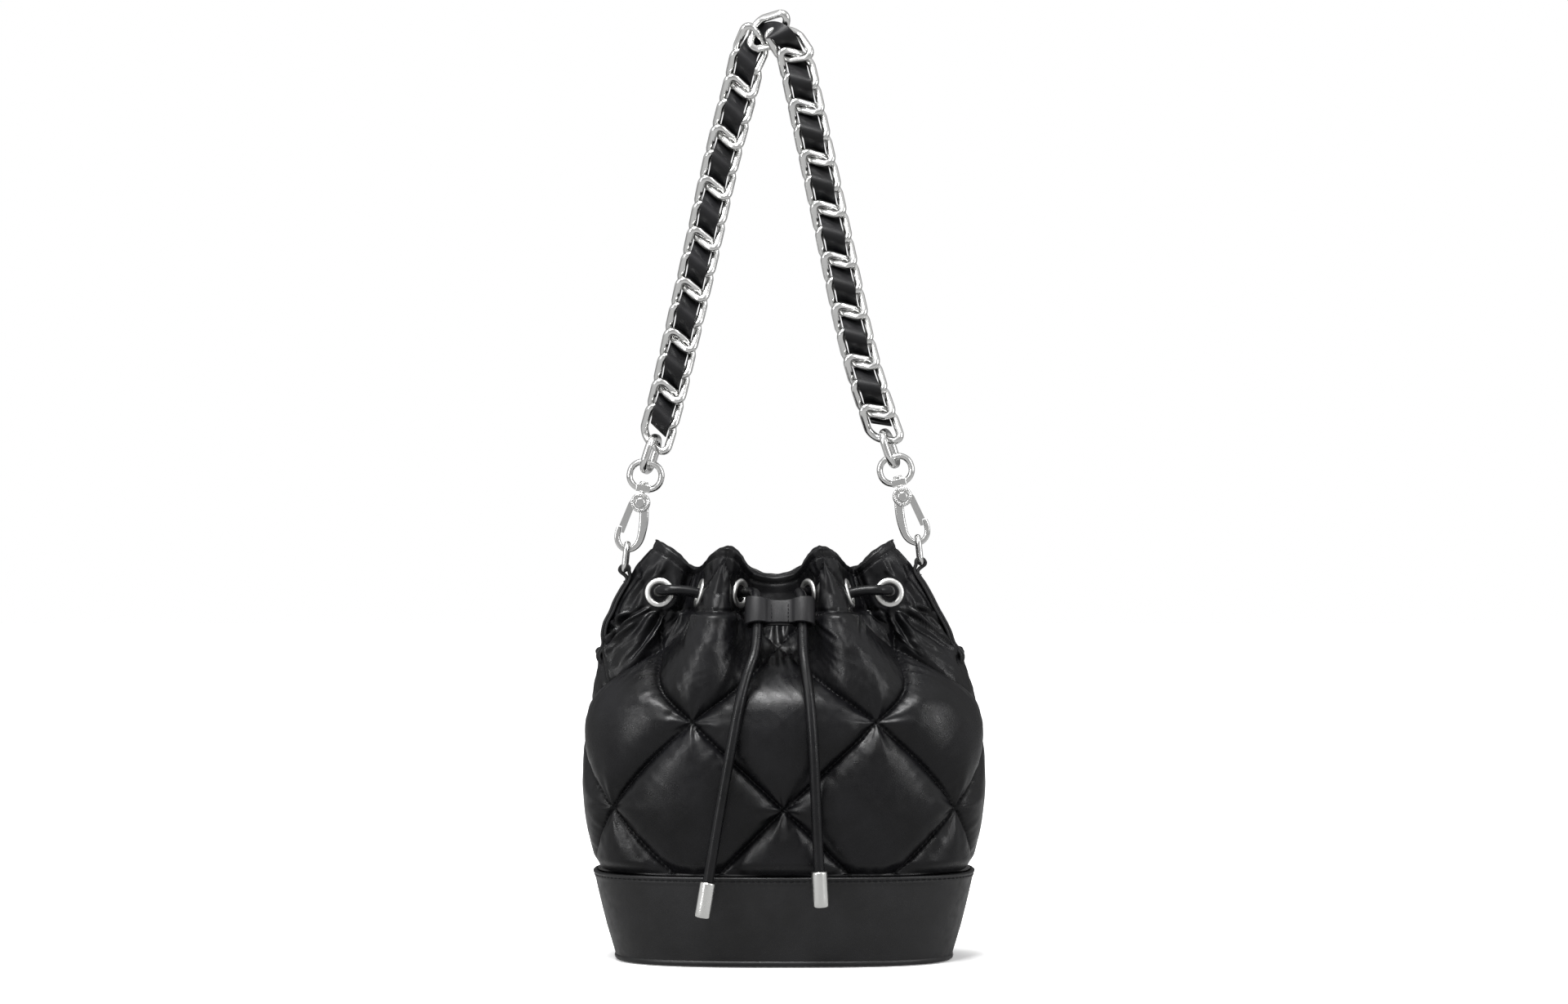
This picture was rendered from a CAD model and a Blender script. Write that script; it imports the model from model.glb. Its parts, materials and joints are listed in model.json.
import json

import bpy
import numpy as np
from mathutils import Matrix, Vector

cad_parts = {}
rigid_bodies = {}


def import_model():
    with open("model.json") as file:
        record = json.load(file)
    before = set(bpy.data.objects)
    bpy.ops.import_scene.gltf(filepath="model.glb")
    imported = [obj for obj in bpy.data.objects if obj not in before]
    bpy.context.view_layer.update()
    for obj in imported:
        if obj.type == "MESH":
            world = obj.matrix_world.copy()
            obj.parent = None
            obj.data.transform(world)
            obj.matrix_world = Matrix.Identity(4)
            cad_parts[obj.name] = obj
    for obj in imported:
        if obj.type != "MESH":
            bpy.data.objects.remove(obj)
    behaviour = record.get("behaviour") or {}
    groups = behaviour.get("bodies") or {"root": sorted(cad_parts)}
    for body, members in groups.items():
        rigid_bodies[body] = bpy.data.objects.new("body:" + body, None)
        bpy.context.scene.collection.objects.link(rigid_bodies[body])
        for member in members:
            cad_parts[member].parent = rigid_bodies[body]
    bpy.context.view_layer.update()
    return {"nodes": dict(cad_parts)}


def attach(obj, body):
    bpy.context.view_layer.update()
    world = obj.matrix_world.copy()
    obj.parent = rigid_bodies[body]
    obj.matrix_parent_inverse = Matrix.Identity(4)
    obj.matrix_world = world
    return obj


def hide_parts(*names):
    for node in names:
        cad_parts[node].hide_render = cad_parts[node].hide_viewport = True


bl_info = {
    "name": "Quilted bucket bag",
    "version": (1, 0, 0),
    "blender": (4, 5, 0),
    "location": "3D View > Sidebar > Bucket bag",
    "description": "Leather, thread, cords, chain and studio for a quilted bucket bag",
    "category": "Object",
}

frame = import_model()
NODES = frame["nodes"]
MM = 0.001

# The bag's wall, in millimetres: the same measures as the construction, except the visible
# foot of the side tabs.
BASE_HALF = (78.8, 52.0)
BELLY_HALF = (95.0, 62.5)
NECK_HALF = (71.7, 42.5)
BELLY_Z = 98.0
EYELET_Z = 172.0
SHOULDER_POWER = 1.7
PLAN_POWER = 2.75
GATHER_Z = (118.0, 166.0)
NECK_SHIFT_X = -4.5
RIM_Z = 189.0
RIM_WAVE = 6.0
RIM_SIDE_LIFT = 2.5
FOLDS = 6
BAND_TOP_Z = 42.0
BAND_FOOT_Z = 2.6
TAB_FOOT_Z = 137.0
EYELET_FLAT = (8.0, 14.0)
WALL_T = 3.05
MOUTH_QUARTER = [
    (-72.7, 0.0), (-66.5, -9.5), (-53.0, -12.5), (-45.5, -11.5), (-41.0, -5.5), (-37.0, -11.5),
    (-35.0, -23.0), (-33.5, -36.0), (-26.5, -44.5), (-19.0, -38.0), (-16.5, -28.0), (-9.5, -21.5),
    (0.0, -20.0),
]


# ------------------------------------------------------------------ wall geometry
def bell(offset, width):
    """Smooth hump: 1 where the offset is 0, fading over the width."""
    return np.exp(-(offset / width) ** 2)


def smoothstep(low, high, value):
    """0 below low, 1 above high, and a smooth ramp between."""
    t = np.clip((value - low) / (high - low), 0.0, 1.0)
    return t * t * (3.0 - 2.0 * t)


def half_size(z, axis):
    """Half width (axis 0) or half depth (axis 1) of the bag at height z."""
    base, belly, neck = BASE_HALF[axis], BELLY_HALF[axis], NECK_HALF[axis]
    rise = np.sin(0.5 * np.pi * np.clip(z, 0.0, BELLY_Z) / BELLY_Z)
    low = base + (belly - base) * rise
    over = np.clip(z - BELLY_Z, 0.0, None)
    if axis == 1:
        over = np.minimum(over, EYELET_Z - BELLY_Z)
    high = belly - (belly - neck) * (over / (EYELET_Z - BELLY_Z)) ** SHOULDER_POWER
    return np.where(z < BELLY_Z, low, high)


def plan_curve(angle):
    """Rounded-rectangle plan of the bag, one unit in half width and half depth."""
    c = np.cos(angle)
    s = np.sin(angle)
    power = 2.0 / PLAN_POWER
    return np.sign(c) * np.abs(c) ** power, np.sign(s) * np.abs(s) ** power


PLAN_ANGLES = np.pi + 2.0 * np.pi * np.arange(1441) / 1440.0
PLAN_X, PLAN_Y = plan_curve(PLAN_ANGLES)
PLAN_STEPS = np.hypot(np.diff(PLAN_X) * BELLY_HALF[0], np.diff(PLAN_Y) * BELLY_HALF[1])
GIRTH = float(PLAN_STEPS.sum())
PLAN_SHARE = np.concatenate([[0.0], np.cumsum(PLAN_STEPS)]) / GIRTH


def mouth_points():
    """Guide points round the gathered mouth, from its left quarter by symmetry."""
    front = MOUTH_QUARTER + [(-x, y) for x, y in reversed(MOUTH_QUARTER[:-1])]
    return np.array(front + [(x, -y) for x, y in reversed(front[1:-1])])


MOUTH = mouth_points()


def mouth_plan(u):
    """Smooth closed curve steered by the mouth points."""
    place = np.mod(u, 1.0) * len(MOUTH)
    i = np.floor(place).astype(int)
    t = place - i
    weights = (
        (1.0 - t) ** 3 / 6.0,
        (3.0 * t ** 3 - 6.0 * t ** 2 + 4.0) / 6.0,
        (-3.0 * t ** 3 + 3.0 * t ** 2 + 3.0 * t + 1.0) / 6.0,
        t ** 3 / 6.0,
    )
    plan = np.zeros(np.shape(u) + (2,))
    for k, weight in enumerate(weights):
        plan += weight[..., None] * MOUTH[(i + k - 1) % len(MOUTH)]
    return plan[..., 0], plan[..., 1]


def wall_point(u, z):
    """A point on the plain wall: u goes once round from the left side seam by the front, z is the height."""
    u, z = np.broadcast_arrays(np.asarray(u, float), np.asarray(z, float))
    w = half_size(z, 0)
    d = half_size(z, 1)
    px, py = plan_curve(np.interp(np.mod(u, 1.0), PLAN_SHARE, PLAN_ANGLES))
    mx, my = mouth_plan(u)
    gather = smoothstep(GATHER_Z[0], GATHER_Z[1], z)
    x = px * w * (1.0 - gather) + mx * w / NECK_HALF[0] * gather
    y = py * d * (1.0 - gather) + my * d / NECK_HALF[1] * gather
    shift = NECK_SHIFT_X * smoothstep(GATHER_Z[0], EYELET_Z, z)
    return np.stack([x + shift, y, z], axis=-1)


def unit(vectors):
    """The same directions at length 1."""
    return vectors / np.linalg.norm(vectors, axis=-1, keepdims=True)


def wall_normal(u, z, surface=wall_point):
    """Outward normal of a surface of the wall."""
    along = surface(u + 0.002, z) - surface(u - 0.002, z)
    up = surface(u, z + 0.8) - surface(u, z - 0.8)
    return unit(np.cross(along, up))


EYELET_U = (2.0 * np.arange(2 * FOLDS) + 1.0) / (4.0 * FOLDS)
EYELET_AT = wall_point(EYELET_U, EYELET_Z)
EYELET_OUT = wall_normal(EYELET_U, EYELET_Z)


def pressed_point(u, z):
    """Wall face with the flats that the eyelets clamp."""
    u, z = np.broadcast_arrays(np.asarray(u, float), np.asarray(z, float))
    point = wall_point(u, z)
    for eyelet_u, centre, normal in zip(EYELET_U, EYELET_AT, EYELET_OUT):
        apart = np.abs(np.mod(u - eyelet_u + 0.5, 1.0) - 0.5) * 4.0 * FOLDS
        offset = point - centre
        height = offset @ normal
        reach = np.sqrt(np.maximum((offset ** 2).sum(-1) - height ** 2, 0.0))
        weight = 1.0 - smoothstep(*EYELET_FLAT, reach)
        weight = weight * (1.0 - smoothstep(0.45, 1.0, apart))
        point = point - normal * (height * weight)[..., None]
    return point


def rim_height(u):
    """Height of the rim: one peak on each pleat, higher at the sides."""
    wave = RIM_WAVE * np.cos(2.0 * np.pi * FOLDS * u)
    return RIM_Z + wave + RIM_SIDE_LIFT * np.cos(4.0 * np.pi * u)


# ------------------------------------------------------------------ quilting
QUILT_ROW_Z = (31.5, 72.5, 113.5, 148.0, 188.0)
LINE_GAP = 59.0
FRONT_U = 0.25
DIAMONDS_ROUND = 12.0
PUFF_HEIGHT = 5.3
PUFF_SPREAD = 4.4
CROWN_HEIGHT = 1.6
SEAM_SINK = 3.4
HEM_Z = 163.8
HEM_SIDE_DROP = 17.0
RIM_STITCH_DROP = 4.2
RIM_ROUND = 1.3
FACING_FOOT_Z = 157.6
LINING_TOP_Z = 158.2
LINING_FOOT_Z = 9.0


def quilt_row(z):
    """Rows of crossings counted up from the band: whole numbers are the rows."""
    return np.interp(z, QUILT_ROW_Z, (-1.0, 0.0, 1.0, 2.0, 3.0))


def quilt_place(u, z):
    """Lattice place: whole numbers of a or of b are the two families of stitch lines."""
    p = (u - FRONT_U) * DIAMONDS_ROUND
    q = quilt_row(z)
    return 0.5 * (p + q), 0.5 * (p - q)


def side_way(u):
    """Distance round the girth from the nearer side seam."""
    return np.abs(np.mod(u + 0.25, 0.5) - 0.25) * GIRTH


def side_share(u):
    """1 at a side seam, 0 at the front and back."""
    return 1.0 - smoothstep(6.5, 22.0, side_way(u))


def hem_height(u):
    """Seam of the collar that carries the eyelets; it drops round both sides."""
    return HEM_Z - HEM_SIDE_DROP * side_share(u)


def seam_way(u, z):
    """Distance from the nearest stitch line of the quilting."""
    a, b = quilt_place(u, z)
    return np.minimum(np.abs(a - np.round(a)), np.abs(b - np.round(b))) * LINE_GAP


def pucker(along, line, seed):
    """Uneven waves along a stitch line; each line has its own."""
    total = np.zeros(np.shape(along))
    for k, (wave, size) in enumerate(((5.1, 0.5), (7.7, 0.8), (12.3, 1.0))):
        shift = np.sin(line * (12.9 + 3.1 * k) + seed * (4.1 + k)) * 9.0
        total += size * np.sin(2.0 * np.pi * along / wave + shift)
    return total


def quilt_relief(u, z):
    """How far the padded leather stands out of the wall, in millimetres."""
    a, b = quilt_place(u, z)
    line_a, line_b = np.round(a), np.round(b)
    off_a, off_b = (a - line_a) * LINE_GAP, (b - line_b) * LINE_GAP
    near_a, near_b = np.abs(off_a), np.abs(off_b)
    hem = hem_height(u)
    neck = smoothstep(hem - 3.8, hem + 0.8, z)
    foot = smoothstep(BAND_TOP_Z, BAND_TOP_Z + 7.0, z)
    puff = (1.0 - np.exp(-near_a / PUFF_SPREAD)) * (1.0 - np.exp(-near_b / PUFF_SPREAD))
    crown = (near_a * near_b) / (0.25 * LINE_GAP ** 2)
    flank = 1.0 - 0.42 * bell(side_way(u), 24.0)
    relief = PUFF_HEIGHT * puff + CROWN_HEIGHT * crown
    relief = relief * (1.0 - 0.7 * neck) * (0.35 + 0.65 * foot) * flank
    for near, off, along, line, seed in (
            (near_a, off_a, b * LINE_GAP, line_a, 1.0), (near_b, off_b, a * LINE_GAP, line_b, 2.0)):
        side = np.where(off > 0.0, 1.0, 2.0)
        rise = 1.0 - np.exp(-near / 1.3)
        relief += 0.2 * pucker(along, line + 0.37 * side, seed) * rise * np.exp(-near / 5.0)
        relief -= (0.6 - 0.3 * neck) * (1.0 + 0.5 * np.cos(along * 2.32)) * bell(near, 0.8)
    reach = np.hypot(off_a, off_b)
    turn = np.arctan2(off_b, off_a)
    own = np.sin(line_a * 7.3 + line_b * 3.9)
    rays = np.cos(4.0 * turn + np.pi) * 0.75 + 0.5 * np.cos(9.0 * turn + 5.0 * own)
    rays = rays + 0.35 * np.cos(14.0 * turn + 9.0 * own)
    rays = rays * (1.0 - 0.65 * smoothstep(126.0, 146.0, z))
    relief += 0.85 * rays * np.exp(-reach / 12.0) * (1.0 - np.exp(-reach / 2.2)) * (1.0 - 0.5 * neck)
    return relief - SEAM_SINK * (1.0 - 0.7 * neck)


# Creases under one eyelet, each as (slope, reach, depth).
SIDE_CREASES = ((0.92, 44.0, 2.5), (0.52, 40.0, 2.2), (0.2, 30.0, 1.5), (-0.34, 34.0, 1.6), (1.5, 26.0, 1.2))
FRONT_CREASES = ((-0.5, 26.0, 1.2), (0.16, 22.0, 1.0), (0.62, 20.0, 0.9))


def gather_relief(u, z):
    """Creases that run down and outwards from the gathered mouth."""
    relief = np.zeros(np.broadcast(u, z).shape)
    strength = smoothstep(98.0, 150.0, z) * (1.0 - smoothstep(166.0, 176.0, z))
    for k, place in enumerate(EYELET_U):
        apart = (np.mod(u - place + 0.5, 1.0) - 0.5) * GIRTH
        drop = np.clip(EYELET_Z - z, 0.0, None)
        beside = side_way(place) < 30.0
        outward = -1.0 if k in (0, 6) or (not beside and k % 2 == 0) else 1.0
        for j, (slope, reach, depth) in enumerate(SIDE_CREASES if beside else FRONT_CREASES):
            own = np.sin(k * 5.3 + j * 2.7)
            wander = 1.5 * np.sin(drop / (6.0 + own) + own * 6.0) + 0.5 * np.sin(drop / 2.3 + own * 9.0)
            line = apart - outward * (slope + 0.1 * own) * drop - wander
            width = 1.0 + 0.04 * drop
            fade = smoothstep(4.0, 13.0, drop) * (1.0 - smoothstep(0.5 * reach, reach + 8.0 * own, drop))
            relief -= depth * (0.85 + 0.3 * own) * fade * bell(line, width)
            relief += 0.8 * depth * fade * bell(line - 2.3 * width, 1.2 * width)
            relief += 0.35 * depth * fade * bell(line + 2.6 * width, 1.5 * width)
    crinkle = np.sin(u * 12.0 * 23.0 + 0.21 * z) * np.sin(0.55 * z + 9.0 * np.sin(u * 44.0))
    fine = np.sin(u * 12.0 * 61.0 + 2.0 * np.sin(0.4 * z)) * np.sin(1.1 * z + 5.0 * np.sin(u * 71.0))
    near_side = 0.45 + 0.55 * bell(side_way(u), 40.0)
    return relief * (0.35 + 0.65 * strength) + (0.26 * crinkle + 0.1 * fine) * strength * near_side


def hem_relief(u, z):
    """The collar's seam and its folds, and the stitch line under the rim."""
    rim = rim_height(u)
    hem = hem_height(u)
    side = side_way(u)
    low = side_share(u)
    seam = (0.5 + 1.1 * low) * bell(z - hem + 3.4, 2.2) - (0.9 + 0.8 * low) * bell(z - hem, 1.0)
    edge = 0.35 * bell(rim - 1.6 - z, 1.5) - 0.5 * bell(rim - RIM_STITCH_DROP - z, 0.6)
    soft = np.sin(u * 12.0 * 31.0 + 3.0 * np.sin(u * 61.0)) * 0.35 * bell(z - rim + 9.0, 7.0)
    inside = smoothstep(148.0, 156.0, z) * (1.0 - smoothstep(180.0, 190.0, z))
    shoulder = 1.9 * bell(side, 15.0) * smoothstep(150.0, 168.0, z) * (1.0 - smoothstep(183.0, 195.0, z))
    folds = np.zeros(np.broadcast(u, z).shape)
    for place, lean, size in ((8.6, 0.10, 1.0), (13.6, 0.16, 1.2)):
        line = side - place - lean * (z - 156.0) - 0.5 * np.sin(0.35 * z + place)
        folds += size * (bell(line, 1.5) - 0.6 * bell(line + 2.6, 1.3))
    return seam + edge + soft + shoulder + folds * inside


def skin_relief(u, z):
    """How far the padding, folds and seams lift the leather off the pressed wall."""
    flat = np.ones(np.broadcast(u, z).shape)
    for place, centre in zip(EYELET_U, EYELET_AT):
        reach = np.linalg.norm(wall_point(u, z) - centre, axis=-1)
        flat *= smoothstep(6.6, 11.0, reach)
    side = side_way(u)
    tab = (1.0 - smoothstep(6.0, 10.0, side)) * smoothstep(126.0, 142.0, z)
    relief = (quilt_relief(u, z) + gather_relief(u, z)) * (1.0 - 0.35 * tab) + hem_relief(u, z)
    middle = bell((np.mod(u, 1.0) - FRONT_U) * GIRTH, 11.0)
    middle = middle * smoothstep(134.0, 146.0, z) * (1.0 - smoothstep(160.0, 166.0, z))
    tuck = np.sin(u * GIRTH * 1.15 + 0.6 * np.sin(0.5 * z)) * (0.6 + 0.4 * np.sin(0.33 * z))
    relief = relief * (1.0 - 0.6 * middle) + 0.75 * tuck * middle
    return (relief - 0.9 * bell(side, 0.9)) * flat


def skin_point(u, z, proud=0.0):
    """A point on the quilted leather's outer face."""
    return pressed_point(u, z) + wall_normal(u, z, pressed_point) * (skin_relief(u, z) + proud)[..., None]


def backing_depth(u, z, plain):
    """Depth of the cloth or facing behind the leather: plain, or deeper behind a seam or fold."""
    reach = (-1.4, 0.0, 1.4)
    dip = np.min([skin_relief(u + across / GIRTH, z + up) for across in reach for up in reach], axis=0)
    return np.maximum(plain, 0.8 - dip)


# ------------------------------------------------------------------ mesh helpers
def mesh_object(name, points, faces, materials, slots=None):
    """A mesh in the scene from points in millimetres, shaded smooth."""
    mesh = bpy.data.meshes.new(name)
    mesh.from_pydata((np.asarray(points) * MM).tolist(), [], faces)
    mesh.validate()
    for material in materials:
        mesh.materials.append(material)
    if slots is not None:
        mesh.polygons.foreach_set("material_index", slots)
    mesh.polygons.foreach_set("use_smooth", [True] * len(mesh.polygons))
    mesh.update()
    piece = bpy.data.objects.new(name, mesh)
    bpy.context.scene.collection.objects.link(piece)
    return piece


def grid_faces(rows, columns, closed=True, start=0):
    """Quads of a grid stored row by row; `closed` joins the last column to the first."""
    faces = []
    for i in range(rows - 1):
        for j in range(columns if closed else columns - 1):
            k = (j + 1) % columns
            faces.append((start + i * columns + j, start + i * columns + k,
                          start + (i + 1) * columns + k, start + (i + 1) * columns + j))
    return faces


def smooth_line(points, count, closed=False):
    """Even points on a Catmull-Rom curve through the given ones."""
    knots = np.asarray(points, float)
    total = len(knots)
    spans = total if closed else total - 1
    place = np.linspace(0.0, spans, spans * 24 + 1)
    i = np.minimum(place.astype(int), spans - 1)
    t = (place - i)[:, None]

    def knot(k):
        return knots[k % total] if closed else knots[np.clip(k, 0, total - 1)]

    a, b, c, d = knot(i - 1), knot(i), knot(i + 1), knot(i + 2)
    square = (2 * a - 5 * b + 4 * c - d) * t ** 2
    cube = (3 * b - a - 3 * c + d) * t ** 3
    fine = 0.5 * ((2 * b) + (c - a) * t + square + cube)
    length = np.concatenate([[0.0], np.cumsum(np.linalg.norm(np.diff(fine, axis=0), axis=1))])
    wanted = np.linspace(0.0, length[-1], count + 1 if closed else count)
    if closed:
        wanted = wanted[:-1]
    return np.stack([np.interp(wanted, length, fine[:, k]) for k in range(fine.shape[1])], axis=-1)


def headings(path, closed=False):
    """Direction of travel at each point of a path."""
    if closed:
        return unit(np.roll(path, -1, axis=0) - np.roll(path, 1, axis=0))
    return unit(np.gradient(path, axis=0))


def rounded_section(width, height, corner, steps=4):
    """Outline of a rounded rectangle, anticlockwise."""
    outline = []
    for k, (sx, sy) in enumerate(((1, 1), (-1, 1), (-1, -1), (1, -1))):
        for j in range(steps + 1):
            angle = 0.5 * np.pi * (k + j / steps)
            outline.append((sx * (0.5 * width - corner) + corner * np.cos(angle),
                            sy * (0.5 * height - corner) + corner * np.sin(angle)))
    return np.array(outline)


def round_section(radius, steps=12):
    """Outline of a round section."""
    angle = 2.0 * np.pi * np.arange(steps) / steps
    return np.stack([np.cos(angle), np.sin(angle)], axis=-1) * radius


def sweep(path, across, lift, section, closed=False, start=0):
    """Points and faces of a section carried along a path; open ends are capped."""
    section = np.asarray(section)
    if section.ndim == 2:
        section = np.broadcast_to(section, (len(path),) + section.shape)
    points = path[:, None, :] + across[:, None, :] * section[..., :1] + lift[:, None, :] * section[..., 1:]
    count = section.shape[1]
    rows = len(path)
    faces = grid_faces(rows, count, True, start)
    if closed:
        last = start + (rows - 1) * count
        for j in range(count):
            k = (j + 1) % count
            faces.append((last + j, last + k, start + k, start + j))
    else:
        faces.append(tuple(start + count - 1 - j for j in range(count)))
        faces.append(tuple(start + (rows - 1) * count + j for j in range(count)))
    return points.reshape(-1, 3), faces


def join(parts):
    """One list of points and faces from several."""
    points, faces, start = [], [], 0
    for part_points, part_faces in parts:
        points.append(np.asarray(part_points))
        faces += [tuple(start + i for i in face) for face in part_faces]
        start += len(part_points)
    return np.concatenate(points), faces


def frame_across(axis):
    """Two directions square to an axis."""
    axis = np.asarray(axis, float) / np.linalg.norm(axis)
    guide = np.array([0.0, 0.0, 1.0]) if abs(axis[2]) < 0.9 else np.array([1.0, 0.0, 0.0])
    first = np.cross(guide, axis)
    first /= np.linalg.norm(first)
    return first, np.cross(axis, first)


def turned(profile, centre, axis, steps=48):
    """Closed turned part: profile points are (radius, distance along the axis)."""
    first, second = frame_across(axis)
    axis = np.asarray(axis, float) / np.linalg.norm(axis)
    angle = 2.0 * np.pi * np.arange(steps) / steps
    spoke = np.cos(angle)[:, None] * first + np.sin(angle)[:, None] * second
    profile = np.asarray(profile, float)
    points = np.asarray(centre) + profile[:, None, :1] * spoke[None] + profile[:, None, 1:] * axis
    faces = grid_faces(len(profile), steps)
    if profile[0, 0] == profile[-1, 0] and profile[0, 1] == profile[-1, 1]:
        points = points[:-1]
        faces = grid_faces(len(profile) - 1, steps)
        last = (len(profile) - 2) * steps
        faces += [(last + j, last + (j + 1) % steps, (j + 1) % steps, j) for j in range(steps)]
    return points.reshape(-1, 3), faces


def stitches(path, normals, pitch, width, share=0.8, sink=0.1):
    """Short humped stitches along a path, dipping into the leather at both ends."""
    step = np.linalg.norm(np.diff(path, axis=0), axis=1)
    length = np.concatenate([[0.0], np.cumsum(step)])
    parts = []
    local = np.linspace(-0.5, 0.5, 7)
    for k in range(int(length[-1] / pitch)):
        middle = (k + 0.5) * pitch
        at = middle + local * pitch * share
        line = np.stack([np.interp(at, length, path[:, c]) for c in range(3)], axis=-1)
        up = unit(np.stack([np.interp(at, length, normals[:, c]) for c in range(3)], axis=-1))
        swell = np.sqrt(np.clip(1.0 - (2.0 * local) ** 2, 0.03, 1.0))
        line = line + up * ((swell - 0.75) * width * 0.75 - sink)[:, None]
        heading = headings(line)
        across = unit(np.cross(heading, up))
        section = round_section(0.5 * width, 6)[None] * (0.45 + 0.55 * swell)[:, None, None]
        parts.append(sweep(line, across, unit(np.cross(across, heading)), section))
    return join(parts)


# ------------------------------------------------------------------ materials
def linear(hex_colour):
    """sRGB hex to the linear colour that shaders use."""
    values = [int(hex_colour[i:i + 2], 16) / 255.0 for i in (1, 3, 5)]
    return tuple(v / 12.92 if v <= 0.04045 else ((v + 0.055) / 1.055) ** 2.4 for v in values) + (1.0,)


def add_node(tree, kind, settings=None, inputs=None):
    """Add a node; inputs take values or (node, output) links, by socket name or number."""
    node = tree.nodes.new(kind)
    for name, value in (settings or {}).items():
        setattr(node, name, value)
    for name, value in (inputs or {}).items():
        socket = node.inputs[name]
        if isinstance(value, tuple) and len(value) == 2 and hasattr(value[0], "outputs"):
            tree.links.new(value[0].outputs[value[1]], socket)
        else:
            socket.default_value = value
    return node


def new_material(name, **sockets):
    """A material with one Principled shader; returns it with its tree and shader."""
    material = bpy.data.materials.new(name)
    material.use_nodes = True
    tree = material.node_tree
    tree.nodes.clear()
    values = {name.replace("_", " "): value for name, value in sockets.items()}
    shader = add_node(tree, "ShaderNodeBsdfPrincipled", None, values)
    add_node(tree, "ShaderNodeOutputMaterial", None, {"Surface": (shader, "BSDF")})
    return material, tree, shader


def link(tree, node, output, shader, socket):
    """Join a node's output to a socket of the shader."""
    tree.links.new(node.outputs[output], shader.inputs[socket])


def nappa(name, colour, worn, roughness, grain_mm, grain_depth, crease_depth, shine=0.28):
    """Full-grain nappa, aniline dyed and softly finished: close pebble grain that
    catches small broken highlights, paler where it is rubbed and duller where a
    seam presses it."""
    material, tree, shader = new_material(name, Roughness=roughness, IOR=1.42, Specular_IOR_Level=shine)
    pressed = add_node(tree, "ShaderNodeAttribute", {"attribute_name": "stitch_press"})
    sheen = add_node(tree, "ShaderNodeMapRange", None, {
        "Value": (pressed, "Fac"), "From Min": 0.0, "From Max": 1.0, "To Min": shine, "To Max": 0.1})
    link(tree, sheen, "Result", shader, "Specular IOR Level")
    spot = add_node(tree, "ShaderNodeTexCoord")
    cells = add_node(tree, "ShaderNodeTexVoronoi", {"feature": "DISTANCE_TO_EDGE"}, {
        "Vector": (spot, "Object"), "Scale": 1.0 / (grain_mm * MM), "Randomness": 0.85})
    hollow = add_node(tree, "ShaderNodeMapRange", None, {
        "Value": (cells, "Distance"), "From Min": 0.0, "From Max": 0.42, "To Min": 0.0, "To Max": 1.0})
    creases = add_node(tree, "ShaderNodeTexNoise", None, {
        "Vector": (spot, "Object"), "Scale": 1.0 / (4.5 * MM), "Detail": 4.0, "Roughness": 0.55})
    patches = add_node(tree, "ShaderNodeTexNoise", None, {
        "Vector": (spot, "Object"), "Scale": 1.0 / (28.0 * MM), "Detail": 3.0, "Roughness": 0.55})
    rub = add_node(tree, "ShaderNodeMapRange", None, {
        "Value": (patches, "Fac"), "From Min": 0.35, "From Max": 0.7, "To Min": 0.0, "To Max": 1.0})
    tone = add_node(tree, "ShaderNodeMix", {"data_type": "RGBA"}, {
        "Factor": (rub, "Result"), 6: linear(colour), 7: linear(worn)})
    link(tree, tone, 2, shader, "Base Color")
    gloss = add_node(tree, "ShaderNodeMapRange", None, {
        "Value": (creases, "Fac"), "From Min": 0.3, "From Max": 0.7,
        "To Min": roughness - 0.07, "To Max": roughness + 0.08})
    link(tree, gloss, "Result", shader, "Roughness")
    soft = add_node(tree, "ShaderNodeBump", None, {
        "Height": (creases, "Fac"), "Strength": 1.0, "Distance": crease_depth * MM})
    grain = add_node(tree, "ShaderNodeBump", None, {
        "Height": (hollow, "Result"), "Strength": 1.0, "Distance": grain_depth * MM,
        "Normal": (soft, "Normal")})
    link(tree, grain, "Normal", shader, "Normal")
    return material


def twill(name, colour, thread_mm):
    """Polyester lining twill: slanting ribs of matte filament."""
    material, tree, shader = new_material(name, Roughness=0.8, IOR=1.46, Sheen_Weight=0.15)
    spot = add_node(tree, "ShaderNodeTexCoord")
    ribs = add_node(tree, "ShaderNodeTexWave", {"bands_direction": "DIAGONAL"}, {
        "Vector": (spot, "Object"), "Scale": 0.31 / (thread_mm * MM), "Distortion": 0.4, "Detail": 1.0})
    fleck = add_node(tree, "ShaderNodeTexNoise", None, {
        "Vector": (spot, "Object"), "Scale": 1.0 / (thread_mm * MM)})
    tone = add_node(tree, "ShaderNodeMix", {"data_type": "RGBA"}, {
        "Factor": (fleck, "Fac"), 6: linear(colour), 7: linear("#2b2b2e")})
    link(tree, tone, 2, shader, "Base Color")
    bump = add_node(tree, "ShaderNodeBump", None, {"Height": (ribs, "Fac"), "Distance": 0.12 * MM})
    link(tree, bump, "Normal", shader, "Normal")
    return material


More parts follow.
